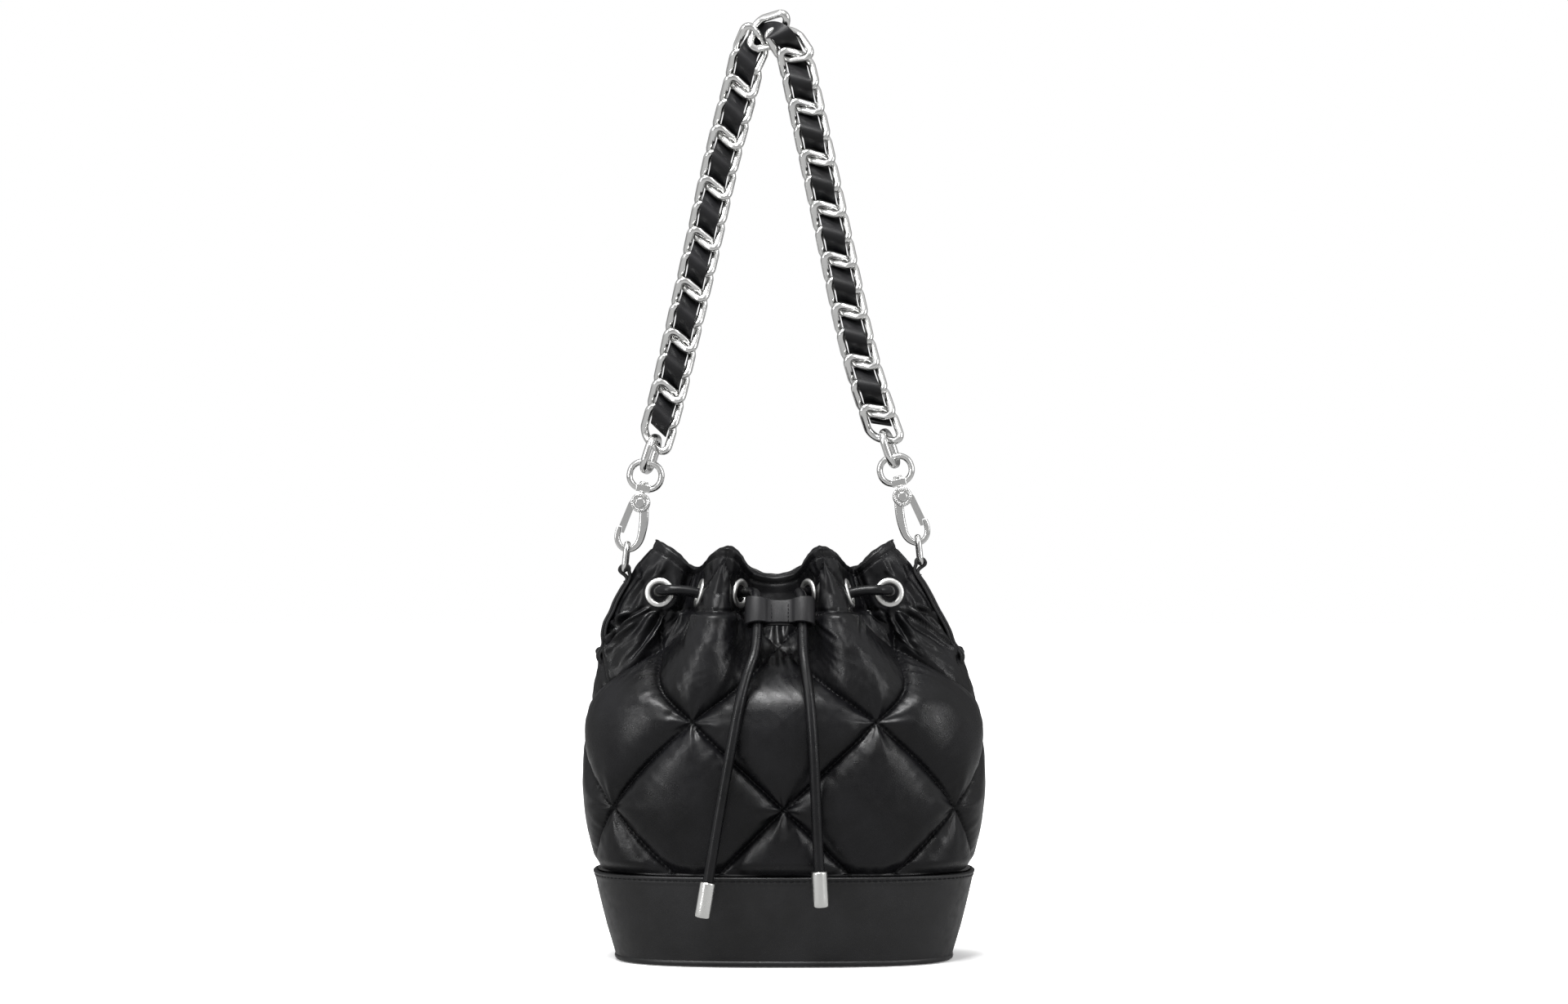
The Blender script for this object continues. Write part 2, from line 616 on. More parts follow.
def plated(name, colour, roughness, brushed_mm, depth_mm):
    """Nickel plate over die-cast zinc: mirror or satin, with faint polishing lines."""
    material, tree, shader = new_material(name, Metallic=1.0, Roughness=roughness)
    shader.inputs["Base Color"].default_value = linear(colour)
    spot = add_node(tree, "ShaderNodeTexCoord")
    lines = add_node(tree, "ShaderNodeTexNoise", None, {
        "Vector": (spot, "Object"), "Scale": 1.0 / (brushed_mm * MM), "Detail": 3.0, "Roughness": 0.6})
    smear = add_node(tree, "ShaderNodeTexNoise", None, {
        "Vector": (spot, "Object"), "Scale": 1.0 / (9.0 * MM), "Detail": 4.0})
    dull = add_node(tree, "ShaderNodeMapRange", None, {
        "Value": (smear, "Fac"), "From Min": 0.35, "From Max": 0.7,
        "To Min": max(roughness - 0.04, 0.03), "To Max": roughness + 0.06})
    link(tree, dull, "Result", shader, "Roughness")
    bump = add_node(tree, "ShaderNodeBump", None, {"Height": (lines, "Fac"), "Distance": depth_mm * MM})
    link(tree, bump, "Normal", shader, "Normal")
    return material


def thread(name, colour):
    """Bonded polyester thread, twisted from three plies: fine slanting ribs, slight shine."""
    material, tree, shader = new_material(name, Roughness=0.5, IOR=1.5, Specular_IOR_Level=0.15)
    spot = add_node(tree, "ShaderNodeTexCoord")
    ply = add_node(tree, "ShaderNodeTexWave", {"bands_direction": "DIAGONAL"}, {
        "Vector": (spot, "Object"), "Scale": 0.31 / (0.45 * MM), "Distortion": 0.3})
    tone = add_node(tree, "ShaderNodeMix", {"data_type": "RGBA"}, {
        "Factor": (ply, "Fac"), 6: linear(colour), 7: linear("#101012")})
    link(tree, tone, 2, shader, "Base Color")
    bump = add_node(tree, "ShaderNodeBump", None, {"Height": (ply, "Fac"), "Distance": 0.1 * MM})
    link(tree, bump, "Normal", shader, "Normal")
    return material


def fibreboard(name):
    """Pressed fibreboard: matte, with short fibres in the face."""
    material, tree, shader = new_material(name, Roughness=0.85)
    spot = add_node(tree, "ShaderNodeTexCoord")
    fibre = add_node(tree, "ShaderNodeTexNoise", None, {
        "Vector": (spot, "Object"), "Scale": 1.0 / (1.2 * MM), "Detail": 6.0})
    tone = add_node(tree, "ShaderNodeMix", {"data_type": "RGBA"}, {
        "Factor": (fibre, "Fac"), 6: linear("#4c463e"), 7: linear("#7a7266")})
    link(tree, tone, 2, shader, "Base Color")
    bump = add_node(tree, "ShaderNodeBump", None, {"Height": (fibre, "Fac"), "Distance": 0.1 * MM})
    link(tree, bump, "Normal", shader, "Normal")
    return material


PALETTE = {}


def finish_of(name):
    """Materials are made once, from the colours in the panel."""
    if not PALETTE:
        looks = bpy.context.scene.bag_looks
        leather = hex_of(looks.leather_colour)
        PALETTE.update({
            "wall": nappa("Nappa, soft milled", leather, "#0f0f11", 0.32, 0.75, 0.028, 0.03),
            "plain": nappa("Nappa, plated smooth", leather, "#111113", 0.42, 0.6, 0.03, 0.05, 0.5),
            "cord": nappa("Nappa, rolled round a cord", leather, "#0f0f11", 0.30, 0.7, 0.02, 0.05),
            "strip": nappa("Split leather, matte finished", "#0d0d0e", "#141416", 0.44, 0.7, 0.02, 0.06),
            "edge": nappa("Leather edge, inked", "#0e0e10", "#1c1c1e", 0.55, 1.1, 0.05, 0.10),
            "cloth": twill("Polyester twill lining", "#161618", 0.5),
            "thread": thread("Bonded polyester thread", "#0b0b0d"),
            "bright": plated("Polished nickel plate", hex_of(looks.metal_colour), 0.19, 0.35, 0.004),
            "cap": plated("Polished nickel plate, tumbled", "#d2d2d0", 0.24, 0.3, 0.01),
            "satin": plated("Satin nickel plate", "#cfcfcd", 0.34, 0.18, 0.02),
            "spring": plated("Drawn spring steel", "#a9a9a6", 0.25, 0.2, 0.02),
            "board": fibreboard("Pressed fibreboard"),
        })
    return PALETTE[name]


def hex_of(colour):
    """Panel colour (linear) back to an sRGB hex value."""
    steps = [v * 12.92 if v <= 0.0031308 else 1.055 * v ** (1.0 / 2.4) - 0.055 for v in colour[:3]]
    return "#%02x%02x%02x" % tuple(int(round(255.0 * v)) for v in steps)


def place(piece, body, slot, *nodes):
    """Put a piece on its body, in its material slot, in place of the named nodes."""
    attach(piece, body)
    if nodes:
        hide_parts(*nodes)
    return piece


def dress(node, finish):
    """Give a construction node its finish."""
    mesh = bpy.data.objects[node].data
    mesh.materials.clear()
    mesh.materials.append(finish_of(finish))


# ------------------------------------------------------------------ panel values
class BagLooks(bpy.types.PropertyGroup):
    leather_colour: bpy.props.FloatVectorProperty(
        name="Leather colour", description="Dyed colour of the nappa", subtype="COLOR", size=3,
        default=linear("#060607")[:3], min=0.0, max=1.0)
    metal_colour: bpy.props.FloatVectorProperty(
        name="Metal colour", description="Colour of the plated metal", subtype="COLOR", size=3,
        default=linear("#cfcfce")[:3], min=0.0, max=1.0)
    lamp_power: bpy.props.FloatProperty(
        name="Lamp power", description="Power of the main softbox", default=10.0, min=0.0, unit="POWER")


class BagSizes(bpy.types.PropertyGroup):
    skin_columns: bpy.props.IntProperty(
        name="Skin columns", description="Points round the quilted wall", default=840, min=120)
    skin_rows: bpy.props.IntProperty(
        name="Skin rows", description="Points up the quilted wall", default=250, min=60)
    stitch_pitch: bpy.props.FloatProperty(
        name="Stitch pitch", description="Length of one stitch with its gap", default=2.7 * MM, unit="LENGTH")
    cord_diameter: bpy.props.FloatProperty(
        name="Cord diameter", description="Diameter of the drawcord", default=5.0 * MM, unit="LENGTH")
    link_wire: bpy.props.FloatProperty(
        name="Link wire", description="Thickness of the chain's wire", default=3.6 * MM, unit="LENGTH")
    link_count: bpy.props.IntProperty(
        name="Links", description="Links in the strap", default=35, min=5)
    strip_width: bpy.props.FloatProperty(
        name="Strip width", description="Width of the leather laced through the chain",
        default=9.4 * MM, unit="LENGTH")


# ------------------------------------------------------------------ cords
LEFT_TAIL = [
    (-12.3, -47.0, 162.5), (-12.3, -53.7, 147.4), (-16.5, -60.0, 137.0), (-20.6, -65.4, 122.0),
    (-24.4, -68.0, 101.0), (-28.2, -68.2, 80.0), (-31.6, -68.3, 60.0), (-34.8, -68.0, 40.5),
]
RIGHT_TAIL = [
    (8.5, -47.0, 162.5), (8.5, -53.7, 147.4), (9.9, -60.0, 137.0), (12.1, -65.4, 122.0),
    (13.6, -68.0, 101.0), (14.5, -68.2, 80.0), (15.2, -68.3, 62.5), (16.1, -68.0, 45.4),
]
MOUTH_LOOP = [
    (-12.3, -47.0, 162.5), (-12.3, -43.0, 171.5), (-15.2, -32.4, 172.8), (-25.6, -25.8, 171.8),
    (-35.2, -22.6, 170.8), (-45.2, -23.9, 173.2), (-54.0, -24.8, 173.6), (-59.3, -19.0, 173.0),
    (-57.8, 0.0, 170.9), (-59.3, 19.0, 173.0), (-54.0, 24.8, 173.6), (-45.2, 23.9, 173.2),
    (-35.2, 22.6, 170.8), (-25.6, 25.8, 171.8), (-15.0, 31.8, 172.4), (6.0, 31.8, 172.4),
    (16.6, 25.8, 171.8), (26.2, 22.6, 170.8), (36.2, 23.9, 173.2), (45.0, 24.8, 173.6),
    (50.3, 19.0, 173.0), (48.8, 0.0, 170.9), (50.3, -19.0, 173.0), (45.0, -24.8, 173.6),
    (36.2, -23.9, 173.2), (26.2, -22.6, 170.8), (16.6, -25.8, 171.8), (6.2, -32.4, 172.8),
    (8.5, -43.0, 171.5), (8.5, -47.0, 162.5),
]


def cord_curve(name, points, diameter, finish):
    """A smooth cord whose route points steer one NURBS spline."""
    curve = bpy.data.curves.new(name, "CURVE")
    curve.dimensions = "3D"
    spline = curve.splines.new("NURBS")
    spline.points.add(len(points) - 1)
    for point, (x, y, z) in zip(spline.points, points):
        point.co = (x * MM, y * MM, z * MM, 1.0)
    spline.order_u = 3
    spline.use_endpoint_u = True
    spline.resolution_u = 16
    curve.bevel_depth = 0.5 * diameter
    curve.bevel_resolution = 6
    curve.use_fill_caps = True
    curve.materials.append(finish_of(finish))
    cord = bpy.data.objects.new(name, curve)
    bpy.context.scene.collection.objects.link(cord)
    return cord


def tip_piece(side, points):
    """Turned metal cap crimped on the cord's end, with a rounded mouth and foot."""
    end = np.array(points[-1])
    heading = unit(end - np.array(points[-2]))
    profile = [(2.55, 3.0), (2.62, 0.55), (2.9, 0.08), (3.2, 0.0), (3.55, 0.12), (3.72, 0.45), (3.75, 0.9),
               (3.75, 4.0), (3.75, 8.0), (3.75, 12.0), (3.75, 15.4), (3.66, 15.9), (3.4, 16.27), (3.0, 16.4),
               (2.2, 16.4), (1.5, 16.32), (0.8, 16.25), (0.02, 16.22)]
    points, faces = turned(profile, end, heading)
    return mesh_object("cord_cap_" + side, points, faces, [finish_of("cap")])


class BAG_OT_cords(bpy.types.Operator):
    """Drawcord through the mouth, its two hanging tails and their metal caps"""
    bl_idname = "bag.cords"
    bl_label = "Drawcord"

    def execute(self, context):
        diameter = context.scene.bag_sizes.cord_diameter
        loop = cord_curve("drawcord_loop", MOUTH_LOOP, diameter, "cord")
        place(loop, "bag", "cord_leather", "drawcord")
        for side, points in (("left", LEFT_TAIL), ("right", RIGHT_TAIL)):
            tail = cord_curve("drawcord_tail_" + side, points, diameter, "cord")
            place(tail, "bag", "cord_leather", "cord_tail_" + side)
            cap = tip_piece(side, points)
            place(cap, "bag", "tip_metal", "cord_tip_" + side)
            length = route_length(tail)
        return {"FINISHED"}


def route_length(cord):
    """Length of a cord's own smooth line."""
    plain = cord.data.copy()
    plain.bevel_depth = 0.0
    probe = bpy.data.objects.new("probe", plain)
    mesh = bpy.data.meshes.new_from_object(probe)
    points = np.array([v.co[:] for v in mesh.vertices])
    bpy.data.objects.remove(probe)
    bpy.data.meshes.remove(mesh)
    bpy.data.curves.remove(plain)
    return float(np.linalg.norm(np.diff(points, axis=0), axis=1).sum())


# ------------------------------------------------------------------ quilted wall
def band_line(depth, height):
    """Line round the bag at one height, `depth` under the wall face (negative is proud)."""
    u = np.arange(721) / 720.0
    point = wall_point(u, height)
    normal = wall_normal(u, np.full_like(u, height))
    return point - normal * depth, normal


class BAG_OT_wall(bpy.types.Operator):
    """Quilted leather wall with its turned rim and inner facing"""
    bl_idname = "bag.wall"
    bl_label = "Quilted wall"

    def execute(self, context):
        sizes = context.scene.bag_sizes
        u = np.arange(sizes.skin_columns) / sizes.skin_columns
        rim = rim_height(u)
        rows = []
        heights = []
        for depth, drop in ((2.2, 0.9), (1.3, 0.1)):
            height = np.full_like(u, BAND_TOP_Z + 0.4 - drop)
            heights.append(height)
            rows.append(wall_point(u, height) - wall_normal(u, height) * depth)
        turn = rim - RIM_ROUND
        foot = BAND_TOP_Z + 0.5
        for t in np.linspace(0.0, 1.0, sizes.skin_rows):
            z = foot + (turn - foot) * t
            heights.append(z)
            rows.append(skin_point(u, z))
        base = pressed_point(u, turn)
        normal = wall_normal(u, turn, pressed_point)
        for angle in np.radians(np.arange(20.0, 181.0, 20.0)):
            inward = 0.5 * WALL_T * (1.0 - np.cos(angle))
            lift = RIM_ROUND * np.sin(angle) + 0.12 * np.sin(u * 12.0 * 37.0)
            rows.append(base - normal * inward + lift[:, None] * [0.0, 0.0, 1.0])
        outer_rows = len(rows) - 1
        for t in np.linspace(0.04, 1.0, 44):
            z = turn - (turn - FACING_FOOT_Z) * t
            fold = 0.35 * np.sin(u * 12.0 * 29.0 + 0.2 * z) * np.sin(0.31 * z)
            seam = -0.5 * bell(rim - 4.4 - z, 0.7)
            normal = wall_normal(u, z, pressed_point)
            depth = WALL_T + (fold + seam) * smoothstep(0.0, 0.2, t) * 0.6
            rows.append(pressed_point(u, z) - normal * backing_depth(u, z, depth)[..., None])
        points = np.concatenate(rows)
        faces = grid_faces(len(rows), len(u))
        slots = np.zeros(len(faces), int)
        slots[outer_rows * len(u):] = 1
        wall = mesh_object("quilted_wall", points, faces, [finish_of("wall"), finish_of("plain")], slots)
        pressed = np.zeros(len(points), np.float32)
        outside = np.concatenate([bell(seam_way(u, z), 0.9) * (z < rim - 4.5) for z in heights])
        pressed[:len(outside)] = outside
        wall.data.attributes.new("stitch_press", "FLOAT", "POINT").data.foreach_set("value", pressed)
        place(wall, "bag", "quilted_leather", "wall_panel_front", "wall_panel_back",
              "rim_facing_front", "rim_facing_back")
        return {"FINISHED"}


def quilt_lines(step=0.864):
    """Every stitch line of the lattice as places (u, z) from band to rim."""
    lines = []
    z = np.arange(BAND_TOP_Z + 1.5, 192.0, step)
    for family in (1.0, -1.0):
        for k in range(FOLDS):
            p = 2.0 * k - family * quilt_row(z)
            u = p / DIAMONDS_ROUND + FRONT_U
            keep = z < rim_height(u) - 5.0
            centre = wall_point(u, z)
            for eyelet in EYELET_AT:
                keep &= np.linalg.norm(centre - eyelet, axis=-1) > 8.5
            keep &= (np.abs(u - FRONT_U) * GIRTH > 9.0) | (z < 141.0)
            keep &= (side_way(u) > 7.2) | (z < TAB_FOOT_Z - 1.0)
            start = 0
            for i in range(len(z) + 1):
                if i == len(z) or not keep[i]:
                    if i - start > 5:
                        lines.append((u[start:i], z[start:i]))
                    start = i + 1
    return lines


class BAG_OT_quilt_thread(bpy.types.Operator):
    """Thread of the quilting, the rim hem and the band"""
    bl_idname = "bag.quilt_thread"
    bl_label = "Thread"

    def execute(self, context):
        pitch = context.scene.bag_sizes.stitch_pitch / MM
        parts = []
        for u, z in quilt_lines():
            parts.append(stitches(skin_point(u, z, 0.1), wall_normal(u, z, pressed_point), pitch, 0.5, 0.66))
        u = np.linspace(0.0, 1.0, 900)
        hem = rim_height(u) - RIM_STITCH_DROP
        normal = wall_normal(u, hem, pressed_point)
        parts.append(stitches(skin_point(u, hem, 0.12), normal, 2.7, 0.5))
        parts.append(stitches(pressed_point(u, hem) - normal * (WALL_T + 0.05), -normal, 2.7, 0.5))
        line, normal = band_line(-0.78, BAND_TOP_Z - 2.0)
        parts.append(stitches(line, normal, 3.0, 0.55))
        points, faces = join(parts)
        row = mesh_object("leather_thread", points, faces, [finish_of("thread")])
        place(row, "bag", "quilted_leather")
        return {"FINISHED"}


class BAG_OT_base(bpy.types.Operator):
    """Smooth base band with its turned edge, the piping and the base"""
    bl_idname = "bag.base"
    bl_label = "Base"

    def execute(self, context):
        u = np.arange(720) / 720.0
        profile = []
        for t in np.linspace(0.0, 1.0, 40):
            depth = -0.55 * min(1.0, 3.0 * t) - 0.25 * np.sin(np.pi * t)
            profile.append((depth, BAND_FOOT_Z + (BAND_TOP_Z - 0.7 - BAND_FOOT_Z) * t))
        groove = [(-0.8, 39.0), (-0.72, 39.6), (-0.55, 40.0), (-0.72, 40.4), (-0.95, 40.9), (-1.0, 41.3),
                  (-0.88, 41.65), (-0.55, 41.88), (-0.1, 41.95), (0.4, 41.9), (0.9, 41.7), (1.9, 41.2),
                  (2.0, 40.0)]
        profile = [row for row in profile if row[1] < 38.8] + groove + [(2.0, 20.0), (2.0, BAND_FOOT_Z)]
        rows = []
        for depth, height in profile:
            z = np.full_like(u, height)
            side = side_way(u)
            seam = 0.55 * bell(side, 0.5) - 0.25 * bell(side - 2.2, 1.6)
            ease = 0.25 * np.sin(u * 12.6 + 1.0) * np.sin(height * 0.09)
            outer = 1.0 if depth < 1.0 else 0.0
            rows.append(wall_point(u, z) - wall_normal(u, z) * (depth + outer * (seam + ease))[..., None])
        points = np.concatenate(rows + rows[:1])
        faces = grid_faces(len(rows) + 1, len(u))
        band = mesh_object("base_wrap", points, faces, [finish_of("plain")])
        place(band, "bag", "smooth_leather", "base_band_front", "base_band_back")

        radius = 1.6
        u = np.arange(360) / 360.0
        flat = wall_normal(u, radius)
        flat[:, 2] = 0.0
        flat = unit(flat)
        centre = wall_point(u, radius) - flat * (radius - 0.6)
        section = round_section(radius, 16) * (1.0 + 0.02 * np.sin(u * 12.6 * 60.0))[:, None, None]
        points, faces = sweep(centre, flat, np.tile([0.0, 0.0, 1.0], (len(u), 1)), section, closed=True)
        piping = mesh_object("foot_piping", points, faces, [finish_of("plain")])
        place(piping, "bag", "smooth_leather", "base_piping")

        outline = centre - flat * (radius + 0.25)
        rings = []
        corner = ((1.0, 1.5), (0.995, 0.6), (0.985, 0.15), (0.97, 0.0))
        for t, height in corner + ((0.9, 0.0), (0.7, 0.0), (0.4, 0.0), (0.1, 0.0)):
            rings.append(outline * [t, t, 0.0] + [0.0, 0.0, height])
        points = np.concatenate(rings)
        faces = grid_faces(len(rings), len(u))
        faces.append(tuple(range((len(rings) - 1) * len(u), len(rings) * len(u))))
        faces = [tuple(reversed(face)) for face in faces]
        base = mesh_object("base_leather", points, faces, [finish_of("plain")])
        place(base, "bag", "smooth_leather", "base_panel")
        dress("base_board", "board")
        return {"FINISHED"}


class BAG_OT_lining(bpy.types.Operator):
    """Twill lining from the facing down to the floor of the bag"""
    bl_idname = "bag.lining"
    bl_label = "Lining"

    def execute(self, context):
        u = np.arange(480) / 480.0
        rows = []
        for t in np.linspace(0.0, 1.0, 90):
            z = LINING_TOP_Z - (LINING_TOP_Z - LINING_FOOT_Z) * t
            slack = 0.5 * smoothstep(0.0, 0.15, t) * smoothstep(1.0, 0.85, t)
            ease = slack * np.sin(u * 12.0 * 7.0 + 0.05 * z) * np.sin(0.06 * z)
            depth = backing_depth(u, z, WALL_T + ease) + 0.25
            rows.append(pressed_point(u, z) - wall_normal(u, z, pressed_point) * depth[..., None])
        edge = rows[-1]
        for t, height in ((0.985, 7.4), (0.96, 6.6), (0.9, 6.45), (0.6, 6.4), (0.2, 6.4)):
            rows.append(edge * [t, t, 0.0] + [0.0, 0.0, height])
        points = np.concatenate(rows)
        faces = grid_faces(len(rows), len(u))
        faces.append(tuple(range((len(rows) - 1) * len(u), len(rows) * len(u))))
        lining = mesh_object("twill_lining", points, faces, [finish_of("cloth")])
        place(lining, "bag", "lining_cloth", "lining_front", "lining_back", "lining_floor")
        return {"FINISHED"}


# ------------------------------------------------------------------ eyelets and slider
class BAG_OT_eyelets(bpy.types.Operator):
    """Twelve domed eyelets with their inner washers"""
    bl_idname = "bag.eyelets"
    bl_label = "Eyelets"

    def execute(self, context):
        dome = smooth_line([(7.0, -0.25), (7.02, 0.12), (6.75, 0.55), (6.1, 0.86), (5.4, 0.93), (4.75, 0.78),
                            (4.25, 0.42), (3.98, -0.1), (3.9, -0.9)], 30)
        outer = np.concatenate([dome, [(3.9, -4.2), (4.3, -4.2), (4.3, -0.25), (7.0, -0.25)]])
        flat = smooth_line([(4.3, -3.2), (4.4, -3.95), (5.2, -4.12), (6.2, -4.05), (6.8, -3.75),
                            (6.95, -3.2)], 18)
        inner = np.concatenate([flat, flat[:1]])
        for name, profile, node in (
                ("eyelet_fronts", outer, "eyelets"), ("eyelet_backs", inner, "eyelet_washers")):
            points, faces = join([turned(profile, c, n, 64) for c, n in zip(EYELET_AT, EYELET_OUT)])
            rings = mesh_object(name, points, faces, [finish_of("satin")])
            place(rings, "bag", "satin_nickel", node)
        return {"FINISHED"}


SLIDER_AT = np.array([-1.9, -47.0, 162.5])
SLIDER_TILT = np.radians(24.0)
SLIDER_OUTLINE = [
    (0.0, -1.55), (3.2, -1.55), (5.6, -2.1), (7.6, -3.5), (10.4, -4.2), (13.3, -3.6), (15.2, -1.6),
    (15.35, 0.9), (13.6, 3.4), (10.4, 4.15), (7.4, 3.3), (5.4, 2.0), (3.2, 1.55), (0.0, 1.55),
    (-3.2, 1.55), (-5.4, 2.0), (-7.4, 3.3), (-10.4, 4.15), (-13.6, 3.4), (-15.35, 0.9), (-15.2, -1.6),
    (-13.3, -3.6), (-10.4, -4.2), (-7.6, -3.5), (-5.6, -2.1), (-3.2, -1.55),
]


def slider_place(points):
    """From the slider's own frame (x across, y to the bag, z up its height) to the bag's."""
    c, s = np.cos(SLIDER_TILT), np.sin(SLIDER_TILT)
    x, y, z = np.asarray(points).T
    return SLIDER_AT + np.stack([x, y * c + z * s, z * c - y * s], axis=-1)


class BAG_OT_slider(bpy.types.Operator):
    """Leather slider: one strip wrapped round both cords and stitched in the middle"""
    bl_idname = "bag.slider"
    bl_label = "Cord slider"

    def execute(self, context):
        plan = smooth_line(SLIDER_OUTLINE, 260, closed=True)
        path = np.concatenate([plan, np.zeros((len(plan), 1))], axis=1)
        heading = headings(path, closed=True)
        up = np.tile([0.0, 0.0, 1.0], (len(path), 1))
        out = np.cross(heading, up)
        section = rounded_section(1.45, 11.0, 0.42, 5)
        flare = np.clip(np.abs(path[:, 0]) / 15.0, 0.0, 1.0) ** 1.4
        section = np.stack([section * [1.0, 1.0 + 0.22 * f] for f in flare])
        path[:, 2] = 1.0 + 0.3 * flare
        wrap = sweep(path, out, up, section, closed=True)
        core_path = np.stack([np.linspace(-4.6, 4.6, 24), np.zeros(24), np.zeros(24)], axis=-1)
        core = sweep(core_path, np.tile([0.0, 1.0, 0.0], (24, 1)), np.tile([0.0, 0.0, 1.0], (24, 1)),
                     rounded_section(1.5, 10.8, 0.35, 4))
        points, faces = join([wrap, core])
        body = mesh_object("slider_wrap", slider_place(points), faces, [finish_of("strip")])
        place(body, "slider", "smooth_leather", "cinch_slider")
        rows = []
        for x in (-3.85, 3.85):
            for side, depth in ((-1.0, -2.3), (1.0, 2.3)):
                z = np.linspace(-4.9, 4.9, 30)
                line = np.stack([np.full(30, x), np.full(30, depth), z], axis=-1)
                normal = np.tile([0.0, side, 0.0], (30, 1))
                rows.append(stitches(line, normal, 1.9, 0.5, 0.78, 0.0))
        points, faces = join(rows)
        seam = mesh_object("slider_thread", slider_place(points), faces, [finish_of("thread")])
        place(seam, "slider", "smooth_leather")
        return {"FINISHED"}


# ------------------------------------------------------------------ tabs and clasps
HOOK_SEAT = (2.4, -33.3)
HEAD_AT = np.array([0.0, 0.0, -13.0])
KNURL_RIDGES = 30
BRIGHT_NODES = ("tab_ring_", "clasp_body_", "clasp_gate_", "gate_rivet_", "swivel_ring_", "swivel_pin_")
CLASPS = {
    "left": {"side": -1.0, "ring": np.array([-65.4, 0.0, 227.0]), "lean": 10.8},
    "right": {"side": 1.0, "ring": np.array([52.8, 0.0, 229.7]), "lean": 14.0},
}


def clasp_place(name, points):
    """From a clasp's own frame (x to the gate, y back, z up) to the bag's."""
    spec = CLASPS[name]
    lean = np.radians(-spec["side"] * spec["lean"])
    c, s = np.cos(lean), np.sin(lean)
    x, y, z = np.asarray(points, float).T
    x = x * spec["side"]
    return spec["ring"] + np.stack([x * c + z * s, y, z * c - x * s], axis=-1)


def ring_bars(name):
    """Centres of the top and bottom bars of a tab ring."""
    side = CLASPS[name]["side"]
    top = clasp_place(name, [(HOOK_SEAT[0], 0.0, HOOK_SEAT[1])])[0]
    lean = np.radians(6.0) * side
    return top, top + np.array([np.sin(lean), 0.0, -np.cos(lean)]) * 12.1


class BAG_OT_tabs(bpy.types.Operator):
    """Folded leather tabs, stitched to the side seams, that hold the rings"""
    bl_idname = "bag.tabs"
    bl_label = "Side tabs"

    def execute(self, context):
        for name, spec in CLASPS.items():
            side = spec["side"]
            u = 0.0 if side < 0 else 0.5
            bar = ring_bars(name)[1]
            z = np.linspace(TAB_FOOT_Z, bar[2] - 4.2, 9)
            across_tab = np.mod(u + np.linspace(-0.009, 0.009, 9), 1.0)
            near = np.abs(skin_point(across_tab[:, None], z[None, :])[..., 0]).max(axis=0)
            near = near - 1.6 * bell(z - TAB_FOOT_Z, 9.0)
            laid = smoothstep(TAB_FOOT_Z - 2.0, TAB_FOOT_Z + 11.0, z)
            inner = np.stack([side * (near - 0.1 * laid - 1.6 * (1.0 - laid)), z], axis=-1)
            outer = np.stack([side * (near + 1.3 * laid - 1.2 * (1.0 - laid)), z], axis=-1)
            angle = np.radians(np.array([200.0, 155.0, 110.0, 70.0, 25.0, -20.0]))
            loop = np.stack([bar[0] + side * 2.2 * np.cos(angle), bar[2] + 2.2 * np.sin(angle)], axis=-1)
            line = smooth_line(np.concatenate([inner, loop, outer[::-1]]), 170)
            path = np.stack([line[:, 0], np.zeros(170), line[:, 1]], axis=-1)
            heading = headings(path)
            across = np.tile([0.0, 1.0, 0.0], (170, 1))
            lift = unit(np.cross(heading, across))
            taper = np.clip(np.minimum(np.arange(170), np.arange(170)[::-1]) / 6.0, 0.0, 1.0)
            width = 10.6 + 2.2 * np.sqrt(1.0 - (1.0 - taper) ** 2)
            section = np.stack([rounded_section(w, 1.45, 0.5, 5) for w in width])
            points, faces = sweep(path, across, lift, section)
            tab = mesh_object("side_tab_leather_" + name, points, faces, [finish_of("plain")])
            place(tab, "bag", "smooth_leather", "side_tab_" + name)
            rows = []
            face = smooth_line(outer + [side * 0.74, 0.0], 60)
            for y in (-4.6, 4.6):
                line = np.stack([face[:, 0], np.full(60, y), face[:, 1]], axis=-1)
                tangent = headings(line)
                normal = unit(np.cross(tangent, [0.0, -side, 0.0]))
                normal = normal * np.sign(normal[:, :1] * side)
                rows.append(stitches(line[3:-2], normal[3:-2], 2.8, 0.45, 0.7, 0.3))
            for k in (2, 57):
                y = np.linspace(-4.6, 4.6, 16)
                line = np.stack([np.full(16, face[k, 0]), y, np.full(16, face[k, 1])], axis=-1)
                rows.append(stitches(line, np.tile([side, 0.0, 0.1], (16, 1)), 2.8, 0.5))
            points, faces = join(rows)
            seam = mesh_object("side_tab_thread_" + name, points, faces, [finish_of("thread")])
            place(seam, "bag", "smooth_leather")
        return {"FINISHED"}


class BAG_OT_clasps(bpy.types.Operator):
    """Clasps, swivels and rings: plated castings with knurled heads"""
    bl_idname = "bag.clasps"
    bl_label = "Clasps and rings"

    def execute(self, context):
        for name in CLASPS:
            for node in BRIGHT_NODES:
                dress(node + name, "bright")
            dress("gate_spring_" + name, "spring")
            parts = []
            out = np.tile([0.0, 1.0, 0.0], (5, 1))
            for side in (-1.0, 1.0):
                for k in range(KNURL_RIDGES):
                    angle = 2.0 * np.pi * k / KNURL_RIDGES
                    spoke = np.array([np.cos(angle), 0.0, np.sin(angle)])
                    line = HEAD_AT + spoke * np.linspace(3.0, 4.35, 5)[:, None] + [0.0, side * 3.57, 0.0]
                    tangent = np.tile(np.cross([0.0, 1.0, 0.0], spoke), (5, 1))
                    points, faces = sweep(line, tangent, out, round_section(0.2, 6))
                    parts.append((clasp_place(name, points), faces))
            points, faces = join(parts)
            knurl = mesh_object("head_knurl_" + name, points, faces, [finish_of("bright")])
            place(knurl, "clasp_" + name, "polished_nickel")
        return {"FINISHED"}


